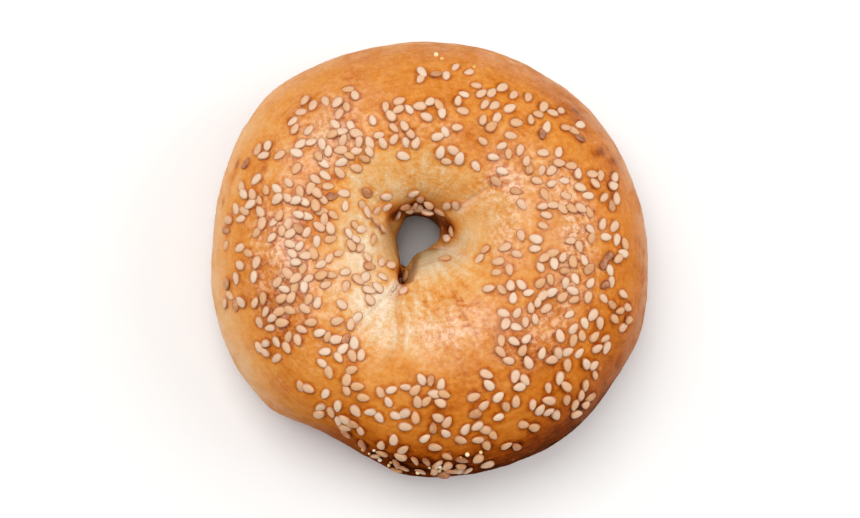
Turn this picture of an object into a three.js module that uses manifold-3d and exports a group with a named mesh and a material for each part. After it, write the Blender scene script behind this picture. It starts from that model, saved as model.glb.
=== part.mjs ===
// Bagel with sesame seeds: one ring of baked dough, flat underneath, with the seeds stuck to its crust.
// Millimetres, +Z up. The origin is on the resting plane, under the middle of the whole.
// Places on the ring are given by two angles in degrees: "ring" goes round the hole, anticlockwise from +X
// as seen from above, and "tube" goes round the dough, 0 at the outer side, 90 on top, 180 at the hole.

import * as THREE from 'three';
import { mergeVertices } from 'three/addons/utils/BufferGeometryUtils.js';
import Module from 'manifold-3d';

const wasm = await Module();
wasm.setup();

// Driving dimensions of the dough
const RING_RADIUS = 29.4;
const TUBE_RADIUS = 24.3;
const SQUASH = 0.83;
const EQUATOR_HEIGHT = 16.4;
const TUBE_FACETS = 32;
const RING_FACETS = 66;
const BASE_ROUNDING = 1.2;

// Driving dimensions of the seeds
const SEED_LENGTH = { least: 2.9, range: 0.75 };
const SEED_WIDTH_SHARE = { least: 0.60, range: 0.09 };
const SINGLE_SEED = { length: 3.3, width: 2.1 };
const SEED_THICKNESS = 1.05;
const SEED_SUNK = 0.34;
const SEED_TAPER = 0.34;
const SEED_SIDES = 6;
const SEED_ROWS = 4;
const SEED_GAP = 2.05;
const SEED_TRIES = 24;
const FUSED_GAP = 5.6;
const DRAW_START = 20117;
const DRAW_FACTOR = 16807;
const DRAW_LIMIT = 2147483647;

// Fine settings
const DEGREE = Math.PI / 180;
const ANGLE_STEP = 0.2 * DEGREE;
const SLIVER = 0.02;
const CREASE_FROM = 17;
const CREASE_FULL = 25;
const CREASE_FADE = 0.75;
const CREASE_SHARPNESS = 2;

// Soft pulls that turn an even ring into this hand-shaped one, in the order in which they act
const PULLS = [
  { name: 'hole off centre', at: [0, 0, 20], move: [-3.4, 3.9, 0], reach: 50 },
  { name: 'north-west shoulder', at: [-40, 37, 16], move: [-1.4, 2.2, 0], reach: 34 },
  { name: 'north-east shoulder', at: [41, 37, 16], move: [0.2, 0.3, 0], reach: 24 },
  { name: 'south-east flank', at: [33, -41, 16], move: [0.65, -0.85, 0], reach: 30 },
  { name: 'east flank', at: [49, -18, 16], move: [0.95, -0.3, 0], reach: 18 },
  { name: 'south-west dent', at: [-24.5, -48.5, 16], move: [2.3, 4.3, 0], reach: 21 },
  { name: 'south of the dent', at: [-21, -44, 16], move: [-0.5, -1, 0], reach: 13 },
  { name: 'south-west flank', at: [-51, -9, 16], move: [-0.9, -0.2, 0], reach: 13 },
  { name: 'west flank', at: [-53, -4, 16], move: [0.7, 0, 0], reach: 24 },
  { name: 'low west flank', at: [-49, -24, 16], move: [-0.6, -0.5, 0], reach: 16 },
  { name: 'hole north', at: [-4.5, 9.5, 17], move: [-0.9, 2.6, 0], reach: 15 },
  { name: 'hole corner', at: [2.5, 9, 15], move: [1.5, 1.5, 0], reach: 10 },
  { name: 'rope end', at: [1.5, -1.5, 17], move: [-2.6, 1.9, 0.6], reach: 11 },
  { name: 'crevice', at: [-7.9, -1.5, 20], move: [0.1, -6, 0], reach: 5.5 },
  { name: 'hole south-east', at: [0.6, 3, 17], move: [1.5, -0.9, 0], reach: 7 },
  { name: 'hole north-west', at: [-7.8, 8.6, 17], move: [1.1, -0.8, 0], reach: 6 },
  { name: 'slot in the neck', at: [-7.2, -0.8, 15], move: [-0.2, -3.4, 0], reach: 4.6 },
  { name: 'rope end front', at: [-3.6, -2, 22], move: [0.6, 0.6, 0.3], reach: 4.5 },
  { name: 'rope end swell', at: [-0.8, -4.2, 27], move: [-0.5, 0.9, 1.1], reach: 7.5 },
  { name: 'rope end east swell', at: [6, -5.5, 30], move: [0, 0.5, 0.7], reach: 7 },
  { name: 'east niche', at: [3.6, 6, 22], move: [1.5, 0.5, -0.6], reach: 5.5 },
  { name: 'north-west niche', at: [-10.2, 8.6, 24], move: [-0.6, 0.4, -2], reach: 5.5 },
];

// Creases pressed into the top, as paths seen from above, each fading out along its way
const CREASES = [
  { name: 'rope seam', path: [[-8, -3], [-9.5, -9], [-13, -14.5], [-21, -20.5], [-27, -24]], depth: 1.5, width: 2.4 },
  { name: 'rope end valley', path: [[0.5, 3], [4.5, 2.2], [8.5, -0.8], [11.5, -5]], depth: 1.8, width: 2.2 },
  { name: 'north-east step', path: [[5, 10], [10.5, 13], [17, 15.3]], depth: 0.9, width: 2.2 },
  { name: 'north-west groove', path: [[-11.5, 9.5], [-16.5, 12], [-22, 16.3], [-28, 17.8]], depth: 1.1, width: 2.4 },
  { name: 'crevice', path: [[-6, -0.6], [-6.1, -3.4], [-6.8, -6.2]], depth: 10, width: 1.8, fade: 0.2, sharpness: 4 },
  { name: 'end of the crevice', path: [[-7.2, -6], [-7.9, -7.6], [-8.9, -9.4]], depth: 6, width: 0.9, fade: 0.85 },
  { name: 'rope end lip', path: [[-0.6, 2.1], [1.6, 1.7], [4.2, 0.9], [7.2, -0.4]], depth: 2.4, width: 0.8, fade: 0.8 },
];

// Where the seeds fell: each drift is a patch with a middle, a half width each way and a number of seeds
const DRIFTS = [
  { name: 'east crown', ring: [1, 10], tube: [66, 18], count: 14 },
  { name: 'east crest', ring: [9, 15], tube: [96, 19], count: 11 },
  { name: 'east shoulder north', ring: [19, 8], tube: [62, 20], count: 12 },
  { name: 'north-east crest', ring: [30, 13], tube: [82, 14], count: 13 },
  { name: 'north-east shoulder', ring: [44, 9], tube: [61, 20], count: 9 },
  { name: 'north-east inner', ring: [46, 16], tube: [102, 15], count: 9 },
  { name: 'north-east crown', ring: [62, 12], tube: [72, 18], count: 15 },
  { name: 'north inner', ring: [76, 15], tube: [105, 15], count: 8 },
  { name: 'north crown', ring: [86, 13], tube: [71, 19], count: 13 },
  { name: 'north wall of the hole', ring: [100, 38], tube: [159, 9], count: 9 },
  { name: 'north-west crest', ring: [108, 16], tube: [94, 18], count: 18 },
  { name: 'north-west crown', ring: [132, 14], tube: [62, 17], count: 17 },
  { name: 'north-west inner', ring: [134, 12], tube: [88, 16], count: 18 },
  { name: 'west shoulder north', ring: [156, 11], tube: [58, 24], count: 17 },
  { name: 'west crest north', ring: [160, 14], tube: [94, 16], count: 15 },
  { name: 'west rim of the hole', ring: [167, 34], tube: [127, 14], count: 9 },
  { name: 'west shoulder', ring: [174, 10], tube: [49, 25], count: 16 },
  { name: 'west crest', ring: [178, 10], tube: [88, 17], count: 17 },
  { name: 'west shoulder south', ring: [191, 8], tube: [48, 26], count: 11 },
  { name: 'west crest south', ring: [198, 12], tube: [84, 17], count: 18 },
  { name: 'south-west shoulder', ring: [208, 10], tube: [62, 22], count: 17 },
  { name: 'south-west inner', ring: [208, 28], tube: [110, 17], count: 14 },
  { name: 'south-west crest', ring: [229, 14], tube: [83, 13], count: 12 },
  { name: 'south-west crown', ring: [234, 12], tube: [58, 22], count: 15 },
  { name: 'south shoulder west', ring: [251, 13], tube: [49, 23], count: 17 },
  { name: 'south crown', ring: [264, 13], tube: [71, 16], count: 16 },
  { name: 'south shoulder', ring: [276, 13], tube: [46, 14], count: 10 },
  { name: 'south foot', ring: [270, 17], tube: [25, 9], count: 18 },
  { name: 'south crown east', ring: [292, 11], tube: [57, 26], count: 16 },
  { name: 'south-east crest', ring: [307, 10], tube: [78, 16], count: 12 },
  { name: 'south-east shoulder', ring: [314, 11], tube: [47, 19], count: 17 },
  { name: 'south-east inner', ring: [325, 15], tube: [95, 13], count: 15 },
  { name: 'south-east crown', ring: [327, 9], tube: [69, 15], count: 10 },
  { name: 'inner south of east', ring: [336, 18], tube: [119, 14], count: 9 },
  { name: 'east shoulder south', ring: [339, 11], tube: [54, 18], count: 16 },
  { name: 'east crest south', ring: [347, 12], tube: [86, 16], count: 15 },
];

// Seeds that stand out: the place of each and its turn in degrees
const SINGLES = [
  { name: 'north-west rim', ring: 141, tube: 138, yaw: 59 },
  { name: 'north rim', ring: 103, tube: 141, yaw: 92 },
  { name: 'north-east rim', ring: 48, tube: 156, yaw: 102 },
  { name: 'east niche', ring: 354, tube: 160, yaw: 6 },
  { name: 'east niche above', ring: 8, tube: 157, yaw: 132 },
  { name: 'edge of the rope end', ring: 315, tube: 150, yaw: 30 },
  { name: 'west of the crevice', ring: 223, tube: 129, yaw: 129 },
  { name: 'foot of the crevice', ring: 248, tube: 130, yaw: 7 },
  { name: 'in the crevice', ring: 249, tube: 147, yaw: 2 },
  { name: 'deep in the crevice', ring: 242, tube: 141, yaw: 19 },
  { name: 'west rim', ring: 165, tube: 134, yaw: 160 },
  { name: 'west rim below', ring: 170, tube: 142, yaw: 155 },
  { name: 'inner east', ring: 338, tube: 130, yaw: 62 },
  { name: 'white one in the west', ring: 174, tube: 124, yaw: 11 },
  { name: 'reddish one in the groove', ring: 157, tube: 99, yaw: 33 },
  { name: 'greyish one in the south-west', ring: 228, tube: 87, yaw: 12 },
  { name: 'north-west rim beside', ring: 152, tube: 132, yaw: 66 },
  { name: 'north rim beside', ring: 91, tube: 149, yaw: 12 },
  { name: 'north-east rim beside', ring: 52, tube: 145, yaw: 9 },
  { name: 'north-east rim above', ring: 45, tube: 139, yaw: 44 },
  { name: 'west of the slot', ring: 211, tube: 136, yaw: 19 },
  { name: 'by the slot', ring: 221, tube: 140, yaw: 149 },
];

const softFade = (distance, reach) => {
  const t = Math.max(0, 1 - distance / reach);
  return t * t * (3 - 2 * t);
};

const softStep = (value, from, to) => {
  const t = Math.min(1, Math.max(0, (value - from) / (to - from)));
  return t * t * (3 - 2 * t);
};

// Height above the resting plane: what hangs below it is flattened, with a rounded edge
const settle = (z) => {
  if (z <= -BASE_ROUNDING) return 0;
  if (z >= BASE_ROUNDING) return z;
  return (z + BASE_ROUNDING) ** 2 / (4 * BASE_ROUNDING);
};

// Nearest distance from a place seen from above to a crease, and how far along it that is, 0 to 1
const nearestOnPath = (x, y, path) => {
  let best = { distance: Infinity, along: 0 };
  for (let i = 0; i + 1 < path.length; i += 1) {
    const [ax, ay] = path[i];
    const [bx, by] = path[i + 1];
    const reach = (bx - ax) ** 2 + (by - ay) ** 2;
    const t = Math.min(1, Math.max(0, ((x - ax) * (bx - ax) + (y - ay) * (by - ay)) / reach));
    const distance = Math.hypot(x - ax - t * (bx - ax), y - ay - t * (by - ay));
    if (distance < best.distance) best = { distance, along: (i + t) / (path.length - 1) };
  }
  return best;
};

// Carries one point of the even ring to its place on the shaped dough
const shapePoint = (point) => {
  for (const { at, move, reach } of PULLS) {
    const away = Math.hypot(point.x - at[0], point.y - at[1], point.z - at[2]);
    const share = softFade(away, reach);
    point.set(point.x + share * move[0], point.y + share * move[1], point.z + share * move[2]);
  }
  const upper = softStep(point.z, CREASE_FROM, CREASE_FULL);
  for (const { path, depth, width, fade = CREASE_FADE, sharpness = CREASE_SHARPNESS } of CREASES) {
    const { distance, along } = nearestOnPath(point.x, point.y, path);
    point.z -= upper * depth * (1 - fade * along) * Math.exp(-((distance / width) ** sharpness));
  }
  point.z = settle(point.z);
  return point;
};

// A point of the even ring
const ringPoint = (ring, tube) => {
  const out = RING_RADIUS + TUBE_RADIUS * Math.cos(tube);
  const up = EQUATOR_HEIGHT + SQUASH * TUBE_RADIUS * Math.sin(tube);
  return new THREE.Vector3(out * Math.cos(ring), out * Math.sin(ring), up);
};

const makeDough = () => {
  const geometry = new THREE.TorusGeometry(RING_RADIUS, TUBE_RADIUS, TUBE_FACETS, RING_FACETS);
  geometry.scale(1, 1, SQUASH);
  geometry.translate(0, 0, EQUATOR_HEIGHT);
  const places = geometry.attributes.position;
  const point = new THREE.Vector3();
  for (let i = 0; i < places.count; i += 1) {
    shapePoint(point.fromBufferAttribute(places, i));
    places.setXYZ(i, point.x, point.y, point.z);
  }
  return geometry;
};

// The same row of draws every time, so that the seeds always fall alike
const makeDraw = (start) => {
  let state = start;
  return () => {
    state = (state * DRAW_FACTOR) % DRAW_LIMIT;
    return state / DRAW_LIMIT;
  };
};

const placeSingle = ({ ring, tube, yaw }) => {
  const angles = { ring: ring * DEGREE, tube: tube * DEGREE, yaw: yaw * DEGREE };
  return { ...angles, ...SINGLE_SEED, at: ringPoint(angles.ring, angles.tube) };
};

// Strews the seeds over their drifts, none nearer to another than the gap
const strewSeeds = () => {
  const draw = makeDraw(DRAW_START);
  const seeds = SINGLES.map(placeSingle);
  for (const drift of DRIFTS) {
    for (let i = 0; i < drift.count; i += 1) {
      for (let tried = 0; tried < SEED_TRIES; tried += 1) {
        const turn = 2 * Math.PI * draw();
        const off = Math.sqrt(draw());
        const ring = (drift.ring[0] + drift.ring[1] * off * Math.cos(turn)) * DEGREE;
        const tube = (drift.tube[0] + drift.tube[1] * off * Math.sin(turn)) * DEGREE;
        const at = ringPoint(ring, tube);
        if (seeds.every((seed) => seed.at.distanceTo(at) > SEED_GAP)) {
          const length = SEED_LENGTH.least + SEED_LENGTH.range * draw();
          const width = length * (SEED_WIDTH_SHARE.least + SEED_WIDTH_SHARE.range * draw());
          seeds.push({ ring, tube, at, length, width, yaw: 2 * Math.PI * draw() });
          break;
        }
      }
    }
  }
  return seeds;
};

// The largest seeds first, each one clear of those already taken
const chooseFused = (seeds) => {
  const chosen = [];
  const bySize = [...seeds].sort((a, b) => b.length - a.length);
  for (const seed of bySize) {
    if (chosen.every((other) => other.at.distanceTo(seed.at) > FUSED_GAP)) chosen.push(seed);
  }
  return chosen;
};

// A flat drop, pointed at one end, lying on the crust and sunk a little into it
const makeSeed = ({ ring, tube, length, width, yaw }) => {
  const geometry = new THREE.SphereGeometry(1, SEED_SIDES, SEED_ROWS);
  const places = geometry.attributes.position;
  for (let i = 0; i < places.count; i += 1) {
    const y = places.getY(i);
    const slim = 1 - SEED_TAPER * y;
    places.setXYZ(i, places.getX(i) * slim * width / 2, y * length / 2, places.getZ(i) * SEED_THICKNESS / 2);
  }
  const foot = shapePoint(ringPoint(ring, tube));
  const along = shapePoint(ringPoint(ring + ANGLE_STEP, tube)).sub(foot).normalize();
  const across = shapePoint(ringPoint(ring, tube + ANGLE_STEP)).sub(foot);
  const out = new THREE.Vector3().crossVectors(along, across).normalize();
  const side = new THREE.Vector3().crossVectors(out, along);
  const turn = new THREE.Matrix4().makeBasis(along, side, out).multiply(new THREE.Matrix4().makeRotationZ(yaw));
  geometry.applyMatrix4(turn.setPosition(foot.addScaledVector(out, SEED_THICKNESS / 2 - SEED_SUNK)));
  return geometry;
};

const toSolid = (geometry) => {
  const bare = geometry.clone();
  bare.deleteAttribute('normal');
  bare.deleteAttribute('uv');
  const merged = mergeVertices(bare);
  const mesh = new wasm.Mesh({
    numProp: 3,
    vertProperties: new Float32Array(merged.attributes.position.array),
    triVerts: new Uint32Array(merged.index.array),
  });
  return new wasm.Manifold(mesh);
};

const toGeometry = (solid) => {
  const mesh = solid.getMesh();
  const geometry = new THREE.BufferGeometry();
  geometry.setAttribute('position', new THREE.BufferAttribute(new Float32Array(mesh.vertProperties), 3));
  geometry.setIndex(new THREE.BufferAttribute(new Uint32Array(mesh.triVerts), 1));
  geometry.computeVertexNormals();
  return geometry;
};

const makeBagel = () => {
  let solid = toSolid(makeDough()).simplify(SLIVER);
  for (const seed of chooseFused(strewSeeds())) solid = solid.add(toSolid(makeSeed(seed)));
  const geometry = toGeometry(solid.simplify(SLIVER));
  geometry.computeBoundingBox();
  const middle = geometry.boundingBox.getCenter(new THREE.Vector3());
  geometry.translate(-middle.x, -middle.y, -geometry.boundingBox.min.z);
  return geometry;
};

const crust = new THREE.MeshStandardMaterial({ color: 0xd9985a, roughness: 0.42, metalness: 0 });
const bagel = new THREE.Mesh(makeBagel(), crust);
bagel.name = 'bagel';

const part = new THREE.Group();
part.name = 'sesame_bagel';
part.add(bagel);

export default part;
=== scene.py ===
"""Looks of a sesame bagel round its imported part: dough, seeds, meal grains, and a plain studio.

Shapes are worked out in millimetres, in the frame of the even ring that the dough starts as, and brought
to metres and to the part's own origin at the end. Places on the ring are given by two angles in degrees:
"ring" goes round the hole, anticlockwise from +X as seen from above, and "tube" goes round the dough, 0 at
the outer side, 90 on top, 180 at the hole.
"""
import logging
import math
from dataclasses import dataclass, field
from enum import Enum
from typing import Any, Optional, Union

import bpy
import numpy as np
from mathutils import Matrix, Vector
from mathutils.bvhtree import BVHTree
from mathutils.geometry import barycentric_transform


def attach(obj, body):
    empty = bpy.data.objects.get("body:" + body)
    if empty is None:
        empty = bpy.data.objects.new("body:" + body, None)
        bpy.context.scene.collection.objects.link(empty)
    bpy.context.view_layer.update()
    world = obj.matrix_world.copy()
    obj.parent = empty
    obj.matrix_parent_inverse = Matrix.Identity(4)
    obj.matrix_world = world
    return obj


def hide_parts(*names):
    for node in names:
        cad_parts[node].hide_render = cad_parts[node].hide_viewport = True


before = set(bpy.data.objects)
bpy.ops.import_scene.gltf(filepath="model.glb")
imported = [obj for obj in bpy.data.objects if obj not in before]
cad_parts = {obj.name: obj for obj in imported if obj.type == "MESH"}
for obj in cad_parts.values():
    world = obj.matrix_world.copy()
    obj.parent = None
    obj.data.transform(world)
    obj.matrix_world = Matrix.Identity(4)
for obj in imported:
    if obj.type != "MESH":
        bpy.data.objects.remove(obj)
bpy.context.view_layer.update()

log = logging.getLogger("sesame_bagel")

MM = 0.001
# From the middle of the even ring to the part's origin, in millimetres
RING_TO_PART = Vector((-0.147, 0.0, 0.0))
NODE = "bagel"
BODY = "root"
DRAW_FACTOR = 16807
DRAW_CYCLE = 2147483647

Number = Union[int, float]
Triple = tuple[float, float, float]
Colour = tuple[float, float, float, float]
Key = Union[int, str]


def linear(red: int, green: int, blue: int) -> Colour:
    """Turns a colour as a screen shows it into the light values that a shader takes.

    Args:
        red: Red, 0 to 255.
        green: Green, 0 to 255.
        blue: Blue, 0 to 255.

    Returns:
        The colour in linear light, with full alpha.
    """
    parts = []
    for part in (red, green, blue):
        share = part / 255
        parts.append(share / 12.92 if share <= 0.04045 else ((share + 0.055) / 1.055) ** 2.4)
    return parts[0], parts[1], parts[2], 1.0


def soft_step(value: np.ndarray, start: float, end: float) -> np.ndarray:
    """Rises softly from 0 at start to 1 at end.

    Args:
        value: The numbers to grade.
        start: Where the rise starts.
        end: Where it ends; it may be lower than start.

    Returns:
        The grades, 0 to 1.
    """
    share = np.clip((value - start) / (end - start), 0.0, 1.0)
    return share * share * (3 - 2 * share)


def deselect_all() -> None:
    """Leaves nothing selected and no object active."""
    for thing in bpy.context.selected_objects:
        thing.select_set(False)
    bpy.context.view_layer.objects.active = None


def make_active(thing: bpy.types.Object) -> None:
    """Makes one object the only selected and active one."""
    deselect_all()
    thing.select_set(True)
    bpy.context.view_layer.objects.active = thing


def read_places(mesh: bpy.types.Mesh, name: str = "position") -> np.ndarray:
    """Reads a vector attribute of a mesh's points.

    Args:
        mesh: The mesh.
        name: The attribute.

    Returns:
        One row of three numbers for each point.
    """
    flat = np.empty(len(mesh.vertices) * 3, np.float32)
    mesh.attributes[name].data.foreach_get("vector", flat)
    return flat.reshape(-1, 3).astype(float)


def write_places(mesh: bpy.types.Mesh, places: np.ndarray, name: str = "position") -> None:
    """Writes a vector attribute of a mesh's points, making it if it is new.

    Args:
        mesh: The mesh.
        places: One row of three numbers for each point.
        name: The attribute.
    """
    if name not in mesh.attributes:
        mesh.attributes.new(name, "FLOAT_VECTOR", "POINT")
    mesh.attributes[name].data.foreach_set("vector", places.astype(np.float32).ravel())
    mesh.update()


def write_grades(mesh: bpy.types.Mesh, grades: np.ndarray, name: str) -> None:
    """Writes a new number attribute of a mesh's points.

    Args:
        mesh: The mesh.
        grades: One number for each point.
        name: The attribute.
    """
    mesh.attributes.new(name, "FLOAT", "POINT")
    mesh.attributes[name].data.foreach_set("value", grades.astype(np.float32))


class Shade:
    """One output of a shader node, on which arithmetic adds Math nodes."""

    def __init__(self, graph: "Graph", socket: bpy.types.NodeSocket) -> None:
        """Keeps the graph and the socket."""
        self.graph = graph
        self.socket = socket

    def _math(self, operation: str, first: Any, second: Any) -> "Shade":
        """Adds one Math node on two values."""
        return self.graph.node("ShaderNodeMath", {"operation": operation}, {0: first, 1: second})

    def __add__(self, other: Union["Shade", Number]) -> "Shade":
        """This plus the other."""
        return self._math("ADD", self, other)

    def __radd__(self, other: Number) -> "Shade":
        """The other plus this."""
        return self._math("ADD", other, self)

    def __sub__(self, other: Union["Shade", Number]) -> "Shade":
        """This less the other."""
        return self._math("SUBTRACT", self, other)

    def __rsub__(self, other: Number) -> "Shade":
        """The other less this."""
        return self._math("SUBTRACT", other, self)

    def __mul__(self, other: Union["Shade", Number]) -> "Shade":
        """This times the other."""
        return self._math("MULTIPLY", self, other)

    def rise(self, start: float, end: float) -> "Shade":
        """Rises softly from 0 to 1 between two values.

        Args:
            start: Where the rise starts.
            end: Where it ends; it may be lower than start.

        Returns:
            The grade.
        """
        low, high = min(start, end), max(start, end)
        settings = {"interpolation_type": "SMOOTHSTEP"}
        bounds = {"Value": self, "From Min": low, "From Max": high}
        grade = self.graph.node("ShaderNodeMapRange", settings, bounds)
        return grade if start < end else 1 - grade


class Graph:
    """The node tree of one material, which is built by calls and by arithmetic."""

    def __init__(self, name: str) -> None:
        """Starts a material with only its output and its shader."""
        self.material = bpy.data.materials.new(name)
        self.material.use_nodes = True
        self.tree = self.material.node_tree
        self.tree.nodes.clear()
        self.shader = self.tree.nodes.new("ShaderNodeBsdfPrincipled")
        output = self.tree.nodes.new("ShaderNodeOutputMaterial")
        self.tree.links.new(self.shader.outputs[0], output.inputs["Surface"])

    def _fill(self, socket: bpy.types.NodeSocket, value: Any) -> None:
        """Links a socket to a shade, or sets it to a plain value."""
        if isinstance(value, Shade):
            self.tree.links.new(value.socket, socket)
        else:
            socket.default_value = value

    def node(self, kind: str, settings: dict[str, Any], inputs: dict[Key, Any], output: Key = 0) -> Shade:
        """Adds any node.

        Args:
            kind: The node's type.
            settings: Its settings, set first; "stops" fills a ramp.
            inputs: Values or shades for its sockets.
            output: The output that is wanted.

        Returns:
            That output.
        """
        made = self.tree.nodes.new(kind)
        for name, value in settings.items():
            if name != "stops":
                setattr(made, name, value)
                continue
            stops = made.color_ramp.elements
            while len(stops) < len(value):
                stops.new(0.5)
            for stop, (place, colour) in zip(stops, value):
                stop.position = place
                stop.color = colour
        for key, value in inputs.items():
            self._fill(made.inputs[key], value)
        return Shade(self, made.outputs[output])

    def place(self) -> Shade:
        """The point in the object's own coordinates, in metres."""
        return self.node("ShaderNodeTexCoord", {}, {}, "Object")

    def grade(self, name: str) -> Shade:
        """A number attribute of the mesh."""
        return self.node("ShaderNodeAttribute", {"attribute_name": name}, {}, "Fac")

    def direction(self, name: str) -> Shade:
        """A vector attribute of the mesh."""
        return self.node("ShaderNodeAttribute", {"attribute_name": name}, {}, "Vector")

    def stretch(self, vector: Shade, by: Triple) -> Shade:
        """Scales a vector differently along each axis.

        Args:
            vector: The vector.
            by: The scale along each axis.

        Returns:
            The scaled vector.
        """
        return self.node("ShaderNodeVectorMath", {"operation": "MULTIPLY"}, {0: vector, 1: by})

    def noise(self, vector: Shade, scale: float, detail: float = 2.0, roughness: float = 0.5) -> Shade:
        """Adds soft noise about 0.5.

        Args:
            vector: Where it is read.
            scale: How fine it is.
            detail: How many finer layers it has.
            roughness: How strong those are.

        Returns:
            The noise, 0 to 1.
        """
        values = {"Vector": vector, "Scale": scale, "Detail": detail, "Roughness": roughness}
        return self.node("ShaderNodeTexNoise", {}, values)

    def cells(self, vector: Shade, scale: float) -> Shade:
        """Adds the distance to scattered points.

        Args:
            vector: Where it is read.
            scale: How dense the points are.

        Returns:
            The distance, in cells.
        """
        return self.node("ShaderNodeTexVoronoi", {}, {"Vector": vector, "Scale": scale})

    def ramp(self, value: Shade, stops: tuple[tuple[float, Colour], ...]) -> Shade:
        """Turns a number into a colour.

        Args:
            value: The number.
            stops: Places and colours, in rising order.

        Returns:
            The colour.
        """
        return self.node("ShaderNodeValToRGB", {"stops": stops}, {0: value})

    def mix(self, share: Union[Shade, float], first: Any, second: Any, way: str = "MIX") -> Shade:
        """Mixes two colours.

        Args:
            share: How much of the second.
            first: The first colour.
            second: The second colour.
            way: How the second acts on the first.

        Returns:
            The mixed colour.
        """
        settings = {"data_type": "RGBA", "blend_type": way, "clamp_factor": True}
        return self.node("ShaderNodeMix", settings, {0: share, 6: first, 7: second}, 2)

    def bump(self, height: Shade, depth: float) -> Shade:
        """Turns a height into a normal.

        Args:
            height: The height, about 0 to 1.
            depth: What a height of 1 stands for, in metres.

        Returns:
            The normal.
        """
        return self.node("ShaderNodeBump", {}, {"Strength": 1.0, "Distance": depth, "Height": height})

    def finish(self, values: dict[str, Any]) -> bpy.types.Material:
        """Fills the shader's sockets.

        Args:
            values: Values or shades by socket name.

        Returns:
            The material.
        """
        for name, value in values.items():
            self._fill(self.shader.inputs[name], value)
        return self.material


@dataclass(frozen=True)
class CrustFinish:
    """Baked crust, from pale dough round the hole to dark brown low on the sides, with painted sheen,
    painted reflection and painted shade.
    """

    stages: tuple[tuple[float, Colour], ...] = (
        (0.00, linear(234, 218, 190)),
        (0.15, linear(224, 190, 146)),
        (0.30, linear(221, 166, 100)),
        (0.45, linear(216, 142, 62)),
        (0.60, linear(198, 113, 34)),
        (0.75, linear(164, 78, 12)),
        (0.88, linear(120, 48, 4)),
        (1.00, linear(64, 24, 2)),
    )
    # Small pinkish spots: partly seed ghosts, partly painted glints of tiny blisters
    ghost_and_glint: Colour = linear(232, 176, 140)
    # Painted sheen: the pinkish-white highlight colour mixed into the base colour
    sheen: Colour = linear(246, 206, 176)
    # Painted reflection: the pale tint of the white room on the edges and crests
    haze: Colour = linear(232, 190, 154)
    # Painted shade down in the hole
    hole_painted_shade: Colour = linear(184, 166, 118)
    torn: Colour = linear(246, 236, 216)
    torn_shade: Colour = linear(190, 172, 150)
    roughness: float = 0.70
    coat_roughness: float = 0.20
    bump_depth: float = 0.00042
    broad_grain: float = 130.0
    broad_strength: float = 0.28
    middle_grain: float = 400.0
    middle_strength: float = 0.36
    fine_grain: float = 1700.0
    fine_strength: float = 0.28
    blister_grain: float = 820.0
    patch_grain: float = 190.0
    torn_grain: float = 1100.0
    wrinkle_stretch: Triple = (0.9, 0.9, 1.1)
    wrinkle_strength: float = 0.18
    pleat_stretch: Triple = (9.0, 9.0, 0.12)
    pleat_strength: float = 0.85
    pleat_relief: float = 2.4
    hole_painted_shade_strength: float = 0.75
    ghost_and_glint_strength: float = 0.3
    painted_sheen_strength: float = 0.85

    def make(self) -> bpy.types.Material:
        """Builds the material from the dough's attributes and fine noise."""
        graph = Graph("crust")
        place = graph.place()
        way = graph.direction("way")
        bake = graph.grade("bake")
        gloss = graph.grade("gloss")
        fold = graph.grade("fold")
        torn = graph.grade("torn")
        deep = graph.grade("deep")
        haze = graph.grade("haze")
        broad = graph.noise(place, self.broad_grain, 3.0)
        middle = graph.noise(place, self.middle_grain, 3.0, 0.6)
        fine = graph.noise(place, self.fine_grain, 2.0, 0.6)
        blister = graph.noise(place, self.blister_grain, 3.0, 0.6)
        wrinkle = graph.noise(graph.stretch(way, self.wrinkle_stretch), 1.0, 3.0, 0.55)
        pleat = graph.noise(graph.stretch(way, self.pleat_stretch), 1.0, 3.0, 0.55)
        speckle = (middle - 0.5) * self.middle_strength + (fine - 0.5) * self.fine_strength
        level = bake + (broad - 0.5) * self.broad_strength + speckle * (gloss + fold + 0.5)
        # Paler on blister and pleat tops and browner in their dips: painted light and shade that follow the
        # bump
        level = level + (wrinkle - 0.5) * self.wrinkle_strength + (0.5 - blister) * (gloss * 0.62 + 0.15)
        level = level + (0.5 - pleat) * fold * self.pleat_strength
        crust = graph.ramp(level, self.stages)
        # Painted shade: darker and more olive down in the hole
        crust = graph.mix(deep * self.hole_painted_shade_strength, crust, self.hole_painted_shade, "MULTIPLY")
        # Seed ghosts and painted glints
        ghost_and_glint_spots = graph.cells(place, self.patch_grain).rise(0.12, 0.05) * bake.rise(0.25, 0.45)
        colour = graph.mix(ghost_and_glint_spots * self.ghost_and_glint_strength, crust, self.ghost_and_glint)
        patchy = graph.noise(place, self.patch_grain, 2.0, 0.6).rise(0.36, 0.58)
        # Painted reflection on the edges and crests
        colour = graph.mix(haze * (patchy * 0.5 + 0.5), colour, self.haze)
        # Painted sheen: pinkish-white highlights on the blister tops of the glossy patches, on top of the
        # real coat
        sheen = gloss * (patchy * 0.7 + 0.3) * (blister.rise(0.43, 0.63) * 0.88 + 0.12)
        colour = graph.mix(sheen * self.painted_sheen_strength, colour, self.sheen)
        rag = graph.noise(place, self.torn_grain, 3.0, 0.7)
        colour = graph.mix(torn * (rag.rise(0.30, 0.55) * 0.6 + 0.4), colour, self.torn)
        colour = graph.mix(torn.rise(0.55, 0.95) * rag.rise(0.52, 0.44) * 0.7, colour, self.torn_shade)
        height = blister * (gloss * 1.7 + 0.35) + fine * 0.28 + wrinkle * 0.30
        height = height + pleat * fold * self.pleat_relief + torn * rag * 0.5
        return graph.finish({
            "Base Color": colour,
            "Roughness": self.roughness + (fine - 0.5) * 0.2,
            "Specular IOR Level": 0.0,
            "Coat Weight": gloss * (patchy * 0.6 + 0.4),
            "Coat Roughness": self.coat_roughness,
            "Normal": graph.bump(height, self.bump_depth),
        })


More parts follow.
